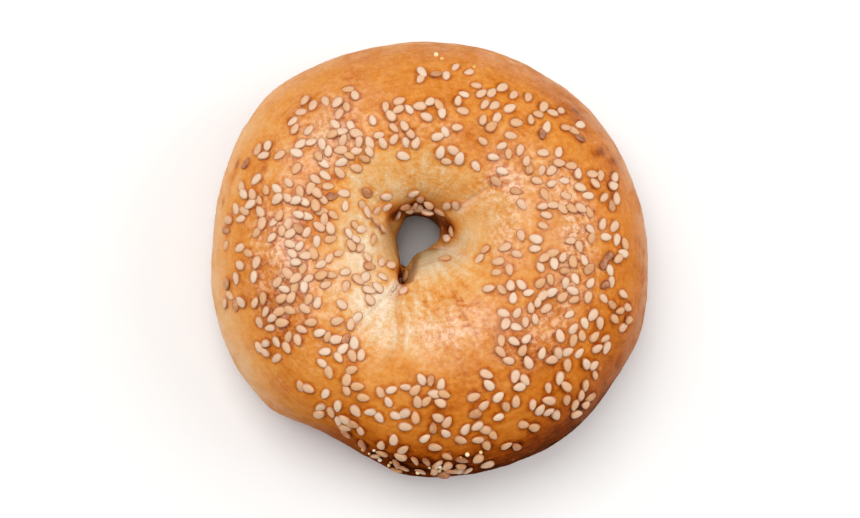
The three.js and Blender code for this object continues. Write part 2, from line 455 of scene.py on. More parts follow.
@dataclass(frozen=True)
class SeedFinish:
    """Hulled sesame, from cream to toasted brown."""

    tones: tuple[tuple[float, Colour], ...] = (
        (0.00, linear(226, 198, 171)),
        (0.40, linear(220, 179, 144)),
        (0.70, linear(214, 162, 112)),
        (0.86, linear(176, 112, 70)),
        (1.00, linear(76, 38, 26)),
    )
    # A darker edge on each seed: partly painted shade where it meets the crust, partly glaze
    rim: Colour = linear(204, 146, 96)
    rim_shade_and_glaze_strength: float = 0.75
    cloud_grain: float = 900.0
    cloud_strength: float = 0.30
    pore_grain: float = 2600.0
    pore_depth: float = 0.00006
    roughness: float = 0.55

    def make(self) -> bpy.types.Material:
        """Builds the material from each seed's tone and its own coordinates."""
        graph = Graph("sesame seed")
        own = graph.direction("own")
        tone = graph.grade("tone")
        cloud = graph.noise(graph.place(), self.cloud_grain)
        colour = graph.ramp(tone + (cloud - 0.5) * self.cloud_strength, self.tones)
        flat = graph.stretch(own, (1, 1, 0))
        reach = graph.node("ShaderNodeVectorMath", {"operation": "LENGTH"}, {0: flat}, "Value")
        edge = reach.rise(0.68, 1.0)
        colour = graph.mix(edge * self.rim_shade_and_glaze_strength, colour, self.rim, "MULTIPLY")
        pores = graph.noise(graph.place(), self.pore_grain)
        return graph.finish({
            "Base Color": colour,
            "Roughness": self.roughness,
            "Normal": graph.bump(pores, self.pore_depth),
        })


@dataclass(frozen=True)
class MealFinish:
    """Coarse meal, pale yellow to white."""

    tones: tuple[tuple[float, Colour], ...] = (
        (0.0, linear(250, 244, 232)),
        (0.45, linear(246, 226, 176)),
        (1.0, linear(228, 172, 84)),
    )
    roughness: float = 0.5

    def make(self) -> bpy.types.Material:
        """Builds the material from each grain's tone."""
        graph = Graph("corn meal")
        colour = graph.ramp(graph.grade("tone"), self.tones)
        return graph.finish({"Base Color": colour, "Roughness": self.roughness})


@dataclass(frozen=True)
class FloorFinish:
    """Plain matt white board."""

    colour: Colour = linear(246, 246, 246)
    roughness: float = 0.8

    def make(self) -> bpy.types.Material:
        """Builds the material."""
        return Graph("floor board").finish({"Base Color": self.colour, "Roughness": self.roughness})


class Lay(Enum):
    """How the seeds of a drift lie."""

    FLAT = 0.0
    LEANING = 28.0
    STANDING = 62.0


@dataclass(frozen=True)
class Pull:
    """A soft pull on all that lies within reach of a point, in millimetres."""

    name: str
    at: Triple
    move: Triple
    reach: float


@dataclass(frozen=True)
class Crease:
    """A crease pressed into the top along a path seen from above, fading out along its way."""

    name: str
    path: tuple[tuple[float, float], ...]
    depth: float
    width: float
    fade: float = 0.75
    sharpness: float = 2.0

    def weigh(self, places: np.ndarray) -> np.ndarray:
        """Works out how deep the crease is at each point.

        Args:
            places: Points, in millimetres.

        Returns:
            The depth at each point, in millimetres.
        """
        nearest = np.full(len(places), np.inf)
        along = np.zeros(len(places))
        for i in range(len(self.path) - 1):
            start = np.array(self.path[i])
            run = np.array(self.path[i + 1]) - start
            share = np.clip((places[:, :2] - start) @ run / (run @ run), 0.0, 1.0)
            distance = np.linalg.norm(places[:, :2] - start - share[:, None] * run, axis=1)
            closer = distance < nearest
            nearest = np.where(closer, distance, nearest)
            along = np.where(closer, (i + share) / (len(self.path) - 1), along)
        return self.depth * (1 - self.fade * along) * np.exp(-((nearest / self.width) ** self.sharpness))


@dataclass(frozen=True)
class Patch:
    """A soft-edged patch of crust that is baked, glossy, folded or painted with a reflection otherwise than
    what is round it.
    """

    name: str
    ring: tuple[float, float]
    tube: tuple[float, float]
    amount: float

    def weigh(self, ring: np.ndarray, tube: np.ndarray) -> np.ndarray:
        """Works out the patch's part in each point.

        Args:
            ring: Ring angles in degrees.
            tube: Tube angles in degrees.

        Returns:
            The amount to add at each point.
        """
        off_ring = (ring - self.ring[0] + 180) % 360 - 180
        off_tube = (tube - self.tube[0] + 180) % 360 - 180
        return self.amount * np.exp(-((off_ring / self.ring[1]) ** 2) - (off_tube / self.tube[1]) ** 2)


@dataclass(frozen=True)
class Drift:
    """A patch of strewn seeds: middle and half width each way in degrees, and how many were strewn."""

    name: str
    ring: tuple[float, float]
    tube: tuple[float, float]
    count: int
    lay: Lay = Lay.FLAT


@dataclass
class Seed:
    """One seed: its place on the ring, its size in millimetres, how it lies and its tone, which is how
    toasted it is and, low on the walls, painted shade.
    """

    ring: float
    tube: float
    at: Vector
    length: float
    width: float
    yaw: float
    lay: Lay
    tone: float = 0.2
    lift: float = 0.0
    lean: float = 0.0


@dataclass(frozen=True)
class Single:
    """One seed that stands out: its place, its turn in degrees, how toasted it is and how it lies."""

    name: str
    ring: float
    tube: float
    yaw: float
    tone: float
    lay: Lay = Lay.FLAT


@dataclass
class Draws:
    """The same row of draws every time, so that what is strewn always falls alike."""

    state: int

    def next(self) -> float:
        """The next draw, between 0 and 1."""
        self.state = self.state * DRAW_FACTOR % DRAW_CYCLE
        return self.state / DRAW_CYCLE

    def between(self, low: float, high: float) -> float:
        """The next draw, between two values."""
        return low + (high - low) * self.next()


# What makes the even ring this bagel: where, which way and how far each pull reaches, in millimetres
PULLS = (
    Pull("hole off centre", (0, 0, 20), (-3.4, 3.9, 0), 50),
    Pull("north-west shoulder", (-40, 37, 16), (-1.4, 2.2, 0), 34),
    Pull("north-east shoulder", (41, 37, 16), (0.2, 0.3, 0), 24),
    Pull("south-east flank", (33, -41, 16), (0.65, -0.85, 0), 30),
    Pull("east flank", (49, -18, 16), (0.95, -0.3, 0), 18),
    Pull("south-west dent", (-24.5, -48.5, 16), (2.3, 4.3, 0), 21),
    Pull("south of the dent", (-21, -44, 16), (-0.5, -1, 0), 13),
    Pull("south-west flank", (-51, -9, 16), (-0.9, -0.2, 0), 13),
    Pull("west flank", (-53, -4, 16), (0.7, 0, 0), 24),
    Pull("low west flank", (-49, -24, 16), (-0.6, -0.5, 0), 16),
    Pull("hole north", (-4.5, 9.5, 17), (-0.9, 2.6, 0), 15),
    Pull("hole corner", (2.5, 9, 15), (1.5, 1.5, 0), 10),
    Pull("rope end", (1.5, -1.5, 17), (-2.6, 1.9, 0.6), 11),
    Pull("crevice", (-7.9, -1.5, 20), (0.1, -6, 0), 5.5),
    Pull("hole south-east", (0.6, 3, 17), (1.5, -0.9, 0), 7),
    Pull("hole north-west", (-7.8, 8.6, 17), (1.1, -0.8, 0), 6),
    Pull("slot in the neck", (-7.2, -0.8, 15), (-0.2, -3.4, 0), 4.6),
    Pull("rope end front", (-3.6, -2, 22), (0.6, 0.6, 0.3), 4.5),
    Pull("rope end swell", (-0.8, -4.2, 27), (-0.5, 0.9, 1.1), 7.5),
    Pull("rope end east swell", (6, -5.5, 30), (0, 0.5, 0.7), 7),
    Pull("east niche", (3.6, 6, 22), (1.5, 0.5, -0.6), 5.5),
    Pull("north-west niche", (-10.2, 8.6, 24), (-0.6, 0.4, -2), 5.5),
)

# Path seen from above, depth and width in millimetres; the part's source has the first seven
CREASES = (
    Crease("rope seam", ((-8, -3), (-9.5, -9), (-13, -14.5), (-21, -20.5), (-27, -24)), 1.5, 2.4),
    Crease("rope end valley", ((0.5, 3), (4.5, 2.2), (8.5, -0.8), (11.5, -5)), 1.8, 2.2),
    Crease("north-east step", ((5, 10), (10.5, 13), (17, 15.3)), 0.9, 2.2),
    Crease("north-west groove", ((-11.5, 9.5), (-16.5, 12), (-22, 16.3), (-28, 17.8)), 1.1, 2.4),
    Crease("crevice", ((-6, -0.6), (-6.1, -3.4), (-6.8, -6.2)), 10.0, 1.8, 0.2, 4.0),
    Crease("end of the crevice", ((-7.2, -6), (-7.9, -7.6), (-8.9, -9.4)), 6.0, 0.9, 0.85),
    Crease("rope end lip", ((-0.6, 2.1), (1.6, 1.7), (4.2, 0.9), (7.2, -0.4)), 2.4, 0.8, 0.8),
    Crease("seam line", ((-9.2, -9.4), (-11.4, -12.4), (-15.5, -16), (-19.5, -19.5)), 0.75, 0.6, 0.6),
    Crease("seam side fold", ((-10.4, -10.6), (-14.5, -15.4), (-19, -20.8)), 1.2, 0.9),
    Crease(
        "south fold",
        ((-8.7, -9.6), (-9.1, -15), (-8.5, -20.7), (-9.4, -25), (-12, -28.7)),
        1.7,
        0.9,
        0.7,
    ),
    Crease("south fold beside", ((-7, -9.8), (-5.4, -16.5), (-3, -23)), 1.4, 1.0),
    Crease("south-west fold", ((-9.6, -11.2), (-11.6, -17.5), (-14.2, -23.5)), 1.1, 1.1),
    Crease("south-east fold", ((-5.6, -9.4), (-1.8, -13.4), (3, -17.6)), 1.2, 0.9),
    Crease("lobe fold", ((-4.6, -8), (-0.4, -10), (4.5, -12.2), (8.5, -13)), 0.8, 0.9),
    Crease("north-east line", ((7.8, 11.4), (12.5, 14.6), (16.4, 15.4)), 0.4, 0.55, 0.6),
    Crease("north-west line", ((-13, 10.6), (-18, 12.6), (-23, 15)), 0.4, 0.6),
    Crease("west pleat", ((-13.5, 8.2), (-19, 9.4), (-25.5, 10.4)), 0.35, 0.9),
)

# Tube angle in degrees, and how baked the crust is there; the rise from 150 to 200, down in the hole, is
# painted shade
BAKE_ROUND_TUBE = (
    (-90, 0.62), (-40, 0.82), (0, 0.76), (20, 0.68), (40, 0.58),
    (60, 0.51), (80, 0.46), (95, 0.43), (108, 0.35), (120, 0.27),
    (135, 0.21), (150, 0.24), (165, 0.34), (200, 0.58), (270, 0.62),
)

# More baked where the amount is above 0, paler where it is below
BAKED = (
    # The dark south walls are partly painted shade, on the side away from the main light, and partly deeper
    # browning
    Patch("dark south wall", (284, 46), (12, 32), 0.22),
    Patch("dark south-east wall", (318, 26), (22, 26), 0.08),
    Patch("dark south-west wall", (256, 13), (24, 22), 0.12),
    # The pale south-west, west, north-west and north walls are partly painted light, on the sides toward the
    # main light, and partly paler crust
    Patch("pale south-west wall", (208, 24), (8, 24), -0.22),
    Patch("golden inner ring", (250, 400), (120, 18), 0.05),
    Patch("pale west wall", (188, 46), (12, 28), -0.20),
    Patch("pale north-west wall", (150, 30), (18, 26), -0.18),
    Patch("pale north wall", (85, 46), (12, 22), -0.12),
    Patch("golden north crown", (90, 34), (74, 12), 0.04),
    Patch("golden west crown", (200, 20), (68, 14), 0.10),
    Patch("brown north-east wall", (44, 26), (38, 20), 0.07),
    Patch("pale south-west crest", (226, 24), (96, 16), -0.06),
    Patch("golden west crest", (178, 24), (92, 14), 0.06),
    Patch("pale north-east crest", (34, 22), (90, 12), -0.06),
    Patch("golden east crest", (8, 30), (100, 14), 0.04),
    Patch("orange north inner", (66, 30), (102, 16), 0.12),
    Patch("amber south-east crest", (305, 38), (80, 22), 0.12),
    Patch("amber south crown", (276, 20), (68, 14), 0.06),
    Patch("pale west inner", (192, 34), (118, 20), -0.25),
    Patch("pale north-west crest", (140, 16), (110, 14), -0.16),
    Patch("pale seam", (234, 15), (116, 18), -0.34),
    Patch("pale fan", (256, 14), (106, 16), -0.20),
    Patch("pale valley", (0, 14), (146, 8), -0.14),
    Patch("golden top of the rope end", (296, 30), (142, 14), 0.10),
    Patch("pale south inner", (262, 22), (114, 12), -0.08),
    # The rope end is paler: partly pale dough, partly painted light
    Patch("pale rope end", (296, 44), (156, 18), -0.34),
    # Browner in the east niche, on the hole's north walls and in the crevice: mostly painted shade, with
    # some real toasting
    Patch("brown east niche", (12, 22), (162, 12), 0.65),
    Patch("brown hole north", (95, 36), (164, 13), 0.50),
    Patch("brown hole north-west", (143, 15), (149, 10), 0.50),
    Patch("brown crevice", (238, 11), (150, 20), 0.60),
    Patch("golden inner east", (330, 66), (122, 22), 0.08),
    Patch("golden south inner", (290, 26), (112, 14), 0.10),
    Patch("golden north inner", (60, 40), (140, 16), 0.10),
)

# Blistered sheens: glossier crust under a coat, which also gets a painted sheen in its colour
GLOSSY = (
    Patch("west sheen", (184, 24), (72, 16), 0.75),
    Patch("west inner sheen", (204, 18), (98, 12), 0.5),
    Patch("north-west sheen", (134, 16), (76, 20), 0.7),
    Patch("north sheen", (95, 18), (98, 10), 0.3),
    Patch("north-east sheen", (36, 16), (106, 13), 0.8),
    Patch("east sheen", (4, 30), (80, 9), 1.0),
    Patch("inner east sheen", (4, 22), (116, 10), 0.6),
    Patch("south sheen", (280, 26), (108, 12), 0.8),
    Patch("south-east sheen", (318, 14), (82, 9), 0.5),
    Patch("seam sheen", (236, 14), (104, 16), 0.5),
    Patch("matt south wall", (285, 60), (20, 30), -0.5),
)

# Painted reflection: a pale, pinkish tint on the edges and crests, where the white room would reflect
PAINTED_REFLECTIONS = (
    Patch("west edge", (178, 36), (4, 22), 0.70),
    Patch("south-west edge", (212, 22), (6, 24), 0.55),
    Patch("north-west edge", (130, 30), (6, 24), 0.36),
    Patch("north edge", (82, 34), (8, 22), 0.42),
    Patch("east edge", (10, 40), (12, 18), 0.50),
    Patch("south-east edge", (338, 16), (8, 10), 0.10),
    Patch("north-east wall", (45, 62), (26, 18), 0.26),
    Patch("north-west crown", (134, 26), (66, 14), 0.20),
    Patch("east crest", (12, 40), (90, 12), 0.22),
    Patch("south crest", (280, 44), (104, 14), 0.22),
    Patch("west crest", (200, 34), (108, 14), 0.22),
)

# Fine folds that run down to the hole
FOLDED = (
    Patch("south fan", (262, 36), (118, 20), 1.0),
    Patch("seam side", (230, 16), (114, 20), 0.8),
    Patch("north-west folds", (148, 18), (114, 20), 0.7),
    Patch("rope end", (305, 34), (130, 22), 0.55),
    Patch("north-east folds", (38, 20), (124, 18), 0.5),
    Patch("north folds", (88, 36), (126, 22), 0.8),
    Patch("west folds", (190, 24), (126, 16), 0.4),
)

# White dough and flour that show in the seam and the valleys
TORN = (
    Crease("torn seam", ((-9.4, -8.8), (-11.2, -11.8), (-14.2, -14.9), (-18.2, -18.6)), 1.0, 1.3, 0.8),
    Crease("flour in the valley", ((2.2, 0.9), (5.2, 0.4)), 0.6, 1.0, 0.2),
    Crease("flour north-east", ((6.0, 9.6), (9.4, 12.4)), 0.4, 1.0, 0.4),
)

# Small dark pits, specks and streaks
BLEMISHES = (
    Patch("pit on the west shoulder", (157, 1.3), (27, 2.2), 0.42),
    Patch("pit on the west flank", (167, 1.3), (22, 2.2), 0.42),
    Patch("stain on the west flank", (161, 3.0), (28, 3.5), 0.22),
    Patch("pit on the west crown", (156, 1.2), (52, 2.0), 0.28),
    Patch("red speck by the hole", (169, 1.6), (101, 3.0), 0.30),
    Patch("crater west of the hole", (176, 2.2), (134, 2.0), 0.26),
    Patch("speck west of the hole", (168, 1.5), (131, 1.5), 0.30),
    Patch("stain in the groove", (147, 3.0), (96, 3.0), 0.20),
    Patch("streak on the north-east wall", (31, 1.5), (46, 7.0), 0.26),
    Patch("streak on the east wall", (27, 1.4), (36, 6.0), 0.22),
    Patch("spot on the north-east wall", (45, 2.0), (38, 3.0), 0.22),
    Patch("amber spot south", (257, 3.0), (88, 3.0), 0.14),
)

# Where the seeds were strewn, and how many
DRIFTS = (
    Drift("east crown", (1, 10), (66, 18), 14),
    Drift("east crest", (9, 15), (96, 19), 11),
    Drift("east shoulder north", (19, 8), (62, 20), 12),
    Drift("north-east crest", (30, 13), (82, 14), 13),
    Drift("north-east shoulder", (44, 9), (61, 20), 9),
    Drift("north-east inner", (46, 16), (102, 15), 9),
    Drift("north-east crown", (62, 12), (72, 18), 15),
    Drift("north inner", (76, 15), (105, 15), 8),
    Drift("north crown", (86, 13), (71, 19), 13),
    Drift("north wall of the hole", (100, 38), (159, 9), 9, Lay.STANDING),
    Drift("north-west crest", (108, 16), (94, 18), 18),
    Drift("north-west crown", (132, 14), (62, 17), 17),
    Drift("north-west inner", (134, 12), (88, 16), 18),
    Drift("west shoulder north", (156, 11), (58, 24), 17),
    Drift("west crest north", (160, 14), (94, 16), 15),
    Drift("west rim of the hole", (167, 34), (127, 14), 9),
    Drift("west shoulder", (174, 10), (49, 25), 16),
    Drift("west crest", (178, 10), (88, 17), 17),
    Drift("west shoulder south", (191, 8), (48, 26), 11),
    Drift("west crest south", (198, 12), (84, 17), 18),
    Drift("south-west shoulder", (208, 10), (62, 22), 17),
    Drift("south-west inner", (208, 28), (110, 17), 14),
    Drift("south-west crest", (229, 14), (83, 13), 12),
    Drift("south-west crown", (234, 12), (58, 22), 15),
    Drift("south shoulder west", (251, 13), (49, 23), 17),
    Drift("south crown", (264, 13), (71, 16), 16),
    Drift("south shoulder", (276, 13), (46, 14), 10),
    Drift("south foot", (270, 17), (25, 9), 18, Lay.LEANING),
    Drift("south crown east", (292, 11), (57, 26), 16),
    Drift("south-east crest", (307, 10), (78, 16), 12),
    Drift("south-east shoulder", (314, 11), (47, 19), 17),
    Drift("south-east inner", (325, 15), (95, 13), 15),
    Drift("south-east crown", (327, 9), (69, 15), 10),
    Drift("inner south of east", (336, 18), (119, 14), 9),
    Drift("east shoulder south", (339, 11), (54, 18), 16),
    Drift("east crest south", (347, 12), (86, 16), 15),
)

# Seeds with places of their own, most of them round the hole
SINGLES = (
    Single("north-west rim", 141, 138, 59, 0.15),
    Single("north rim", 103, 141, 92, 0.05),
    Single("north-east rim", 48, 156, 102, 0.55),
    Single("east niche", 354, 160, 6, 0.2),
    Single("east niche above", 8, 157, 132, 0.6),
    Single("edge of the rope end", 315, 150, 30, 0.62),
    Single("west of the crevice", 223, 129, 129, 0.05),
    Single("foot of the crevice", 248, 130, 7, 0.2),
    Single("in the crevice", 249, 147, 2, 0.7),
    Single("deep in the crevice", 242, 141, 19, 0.8),
    Single("west rim", 165, 134, 160, 0.4, Lay.STANDING),
    Single("west rim below", 170, 142, 155, 0.3, Lay.STANDING),
    Single("inner east", 338, 130, 62, 0.3),
    Single("white one in the west", 174, 124, 11, 0.0),
    Single("reddish one in the groove", 157, 99, 33, 0.86),
    Single("greyish one in the south-west", 228, 87, 12, 0.82),
    Single("north-west rim beside", 152, 132, 66, 0.4),
    Single("north rim beside", 91, 149, 12, 0.35),
    Single("north-east rim beside", 52, 145, 9, 0.3),
    Single("north-east rim above", 45, 139, 44, 0.2),
    Single("west of the slot", 211, 136, 19, 0.3),
    Single("by the slot", 221, 140, 149, 0.4),
)

# Spots whose nearest seed is toasted, by ring and tube angle
TOASTED = ((358, 68), (358, 61), (350, 64), (154, 34), (44, 70), (39, 55))


@dataclass
class Dough:
    """The ring of baked dough, from an even ring to this hand-shaped one."""

    ring_radius: float = 29.4
    tube_radius: float = 24.3
    squash: float = 0.83
    equator: float = 16.4
    base_rounding: float = 1.2
    ring_steps: int = 208
    tube_steps: int = 120
    crease_from: float = 17.0
    crease_full: float = 25.0
    fine_crease: float = 1.1
    valley_painted_shade: float = 0.14
    seed_shadow_and_browning: float = 0.15
    shadow_reach: float = 1.60
    least_gloss: float = 0.06
    least_depth: float = 0.01
    top_from: float = 60.0
    deep_from: float = 132.0
    deep_full: float = 168.0
    finish: CrustFinish = field(default_factory=CrustFinish)
    thing: Optional[bpy.types.Object] = None

    def ring_point(self, ring: float, tube: float) -> Vector:
        """Finds a point of the even ring.

        Args:
            ring: Ring angle in degrees.
            tube: Tube angle in degrees.

        Returns:
            The point, in millimetres.
        """
        out = self.ring_radius + self.tube_radius * math.cos(math.radians(tube))
        up = self.equator + self.squash * self.tube_radius * math.sin(math.radians(tube))
        return Vector((out * math.cos(math.radians(ring)), out * math.sin(math.radians(ring)), up))

    def start_ring(self) -> None:
        """Adds the even ring, squashed and raised, and notes where each point started."""
        deselect_all()
        bpy.ops.mesh.primitive_torus_add(
            major_segments=self.ring_steps,
            minor_segments=self.tube_steps,
            major_radius=self.ring_radius,
            minor_radius=self.tube_radius,
        )
        self.thing = bpy.context.object
        self.thing.name = "dough"
        bpy.ops.object.mode_set(mode="EDIT")
        bpy.ops.mesh.select_mode(type="VERT")
        bpy.ops.mesh.select_all(action="SELECT")
        bpy.ops.transform.resize(value=(1, 1, self.squash))
        bpy.ops.transform.translate(value=(0, 0, self.equator))
        bpy.ops.object.mode_set(mode="OBJECT")
        write_places(self.thing.data, read_places(self.thing.data), "start")

    def make_pull(self, pull: Pull) -> None:
        """Pulls softly on the dough by a small loose handle, which is then deleted.

        Args:
            pull: Where, which way and how far the pull reaches.
        """
        bpy.ops.mesh.select_all(action="DESELECT")
        bpy.ops.mesh.primitive_circle_add(vertices=3, radius=1e-4, location=pull.at)
        bpy.ops.transform.translate(
            value=pull.move,
            use_proportional_edit=True,
            proportional_edit_falloff="SMOOTH",
            proportional_size=pull.reach,
        )
        bpy.ops.mesh.delete(type="VERT")

    def shape_ring(self) -> None:
        """Makes all pulls, then doubles the steps each way."""
        make_active(self.thing)
        bpy.ops.object.mode_set(mode="EDIT")
        for pull in PULLS:
            self.make_pull(pull)
        bpy.ops.mesh.select_all(action="SELECT")
        bpy.ops.mesh.subdivide(number_cuts=1, smoothness=1.0)
        bpy.ops.object.mode_set(mode="OBJECT")

    def displace(self, name: str, strength: float, **settings: Any) -> None:
        """Moves the surface by a Displace modifier, which is applied.

        Args:
            name: The modifier's name.
            strength: How far it moves, in millimetres.
            **settings: Its other settings.
        """
        make_active(self.thing)
        modifier = self.thing.modifiers.new(name, "DISPLACE")
        modifier.strength = strength
        for key, value in settings.items():
            setattr(modifier, key, value)
        bpy.ops.object.modifier_apply(modifier=name)

    def press_creases(self) -> None:
        """Presses the creases into the top, by how deep each of them is at each point."""
        mesh = self.thing.data
        places = read_places(mesh)
        depth = sum(crease.weigh(places) for crease in CREASES)
        depth = depth * soft_step(places[:, 2], self.crease_from, self.crease_full)
        deepest = float(depth.max())
        group = self.thing.vertex_groups.new(name="creases")
        for i in np.nonzero(depth > self.least_depth)[0]:
            group.add([int(i)], float(depth[i] / deepest), "REPLACE")
        self.displace("creases", -deepest, direction="Z", mid_level=0.0, vertex_group="creases")
        self.thing.vertex_groups.clear()

    def roughen(self) -> None:
        """Gives the crust its slow lumps, its puckers and its small blisters."""
        layers = (("lumps", 11.0, 0.7), ("puckers", 3.2, 0.22), ("blisters", 1.3, 0.14))
        for name, size, strength in layers:
            texture = bpy.data.textures.new(name, "CLOUDS")
            texture.noise_scale = size
            texture.noise_depth = 2
            self.displace(name, strength, texture=texture, texture_coords="LOCAL", mid_level=0.5)

    def settle(self) -> None:
        """Flattens what hangs below the resting plane, with a rounded edge."""
        mesh = self.thing.data
        places = read_places(mesh)
        height = places[:, 2]
        rounding = self.base_rounding
        eased = (np.maximum(height, -rounding) + rounding) ** 2 / (4 * rounding)
        places[:, 2] = np.where(height >= rounding, height, eased)
        write_places(mesh, places)

    def angles(self) -> tuple[np.ndarray, np.ndarray]:
        """Reads each point's ring and tube angles off the place where it started.

        Returns:
            The ring angles and the tube angles, in degrees.
        """
        start = read_places(self.thing.data, "start")
        ring = np.degrees(np.arctan2(start[:, 1], start[:, 0]))
        out = np.hypot(start[:, 0], start[:, 1]) - self.ring_radius
        tube = np.degrees(np.arctan2((start[:, 2] - self.equator) / self.squash, out))
        return ring, tube

    def grade_crust(self, seeds: list[Seed], feet: list[Vector]) -> None:
        """Writes the crust's grades at each point, such as how baked it is, and which way the ring runs.

        Args:
            seeds: The seeds, which leave a painted contact shadow and a browner edge round themselves.
            feet: Where each of them stands.
        """
        mesh = self.thing.data
        ring, tube = self.angles()
        above = np.where(tube < -90, tube + 360, tube)
        marks, levels = zip(*BAKE_ROUND_TUBE)
        bake = np.interp(above, marks, levels)
        bake = bake + sum(patch.weigh(ring, tube) for patch in BAKED)
        bake = bake + sum(patch.weigh(ring, tube) for patch in BLEMISHES)
        # Painted contact shadow round each seed, with some browning
        bake = bake + self.seed_shadow_and_browning * self.seed_shadow(seeds, feet)
        on_top = above > self.top_from
        places = read_places(mesh)
        # Painted shade in the valleys of the fine creases
        fine_creases = [crease for crease in CREASES if crease.width <= self.fine_crease]
        valley = sum(crease.weigh(places) for crease in fine_creases) * on_top
        bake = bake + self.valley_painted_shade * np.clip(valley, 0.0, 1.0)
        gloss = self.least_gloss + sum(patch.weigh(ring, tube) for patch in GLOSSY)
        # Painted reflection on the edges and crests
        haze = sum(patch.weigh(ring, tube) for patch in PAINTED_REFLECTIONS)
        fold = sum(patch.weigh(ring, tube) for patch in FOLDED)
        torn = sum(crease.weigh(places) for crease in TORN) * on_top
        # How far down into the hole, which sets the painted shade there
        deep = soft_step(above, self.deep_from, self.deep_full)
        grades = {"bake": bake, "gloss": gloss, "haze": haze, "fold": fold, "deep": deep, "torn": torn}
        for name, values in grades.items():
            write_grades(mesh, np.clip(values, 0.0, 1.0), name)
        arc = np.radians(above) * self.tube_radius
        way = np.stack([np.cos(np.radians(ring)), np.sin(np.radians(ring)), arc], axis=1)
        write_places(mesh, way, "way")

    def seed_shadow(self, seeds: list[Seed], feet: list[Vector]) -> np.ndarray:
        """Works out how close each point is to a seed.

        Args:
            seeds: The seeds.
            feet: Where each of them stands.

        Returns:
            1 under a seed, falling softly to 0 a little outside it.
        """
        places = read_places(self.thing.data)
        near = np.zeros(len(places))
        for seed, foot in zip(seeds, feet):
            off = places - np.array(foot)
            close = np.nonzero((np.abs(off) < seed.length).all(axis=1))[0]
            reach = np.linalg.norm(off[close], axis=1) / (0.5 * math.sqrt(seed.length * seed.width))
            near[close] = np.maximum(near[close], soft_step(reach, self.shadow_reach, 1.0))
        return near

    def to_part(self) -> None:
        """Brings the dough to metres and to the part's origin."""
        make_active(self.thing)
        bpy.ops.object.mode_set(mode="EDIT")
        bpy.ops.mesh.select_mode(type="VERT")
        bpy.ops.mesh.select_all(action="SELECT")
        bpy.ops.transform.translate(value=RING_TO_PART)
        bpy.ops.transform.resize(value=(MM, MM, MM), center_override=(0, 0, 0))
        bpy.ops.object.mode_set(mode="OBJECT")

    def shape(self) -> bpy.types.Object:
        """Shapes the dough, still in millimetres.

        Returns:
            The dough's object.
        """
        self.start_ring()
        self.shape_ring()
        self.press_creases()
        self.roughen()
        self.settle()
        bpy.ops.object.shade_smooth()
        return self.thing

    def dress(self, seeds: list[Seed], feet: list[Vector]) -> bpy.types.Object:
        """Grades the crust, brings it to its place and gives it its finish.

        Args:
            seeds: The seeds that lie on it.
            feet: Where each of them stands.

        Returns:
            The dough's object.
        """
        self.grade_crust(seeds, feet)
        self.to_part()
        self.thing.data.materials.append(self.finish.make())
        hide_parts(NODE)
        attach(self.thing, BODY)
        return self.thing


class Ground:
    """Finds places on the shaped dough from ring and tube angles."""

    def __init__(self, dough: Dough) -> None:
        """Reads the dough's triangles as they started and as they are now."""
        mesh = dough.thing.data
        mesh.calc_loop_triangles()
        flat = np.empty(len(mesh.loop_triangles) * 3, np.int32)
        mesh.loop_triangles.foreach_get("vertices", flat)
        self.dough = dough
        self.faces = flat.reshape(-1, 3).tolist()
        self.start = [Vector(row) for row in read_places(mesh, "start")]
        self.now = [Vector(row) for row in read_places(mesh)]
        self.tree = BVHTree.FromPolygons(self.start, self.faces)

    def foot(self, ring: float, tube: float) -> Vector:
        """Finds where a point of the even ring is now.

        Args:
            ring: Ring angle in degrees.
            tube: Tube angle in degrees.

        Returns:
            The place on the dough, in millimetres.
        """
        spot, _, face, _ = self.tree.find_nearest(self.dough.ring_point(ring, tube))
        corners = self.faces[face]
        before = [self.start[i] for i in corners]
        after = [self.now[i] for i in corners]
        return barycentric_transform(spot, *before, *after)

    def stand(self, ring: float, tube: float, step: float = 0.9) -> Matrix:
        """Finds the frame of a thing that lies on the dough.

        Args:
            ring: Ring angle in degrees.
            tube: Tube angle in degrees.
            step: How far off the slopes are felt, in degrees.

        Returns:
            A frame with its origin on the crust, X along the ring and Z out of the dough.
        """
        foot = self.foot(ring, tube)
        along = (self.foot(ring + step, tube) - self.foot(ring - step, tube)).normalized()
        across = self.foot(ring, tube + step) - self.foot(ring, tube - step)
        out = along.cross(across).normalized()
        side = out.cross(along)
        turn = Matrix((along, side, out)).transposed().to_4x4()
        turn.translation = foot
        return turn


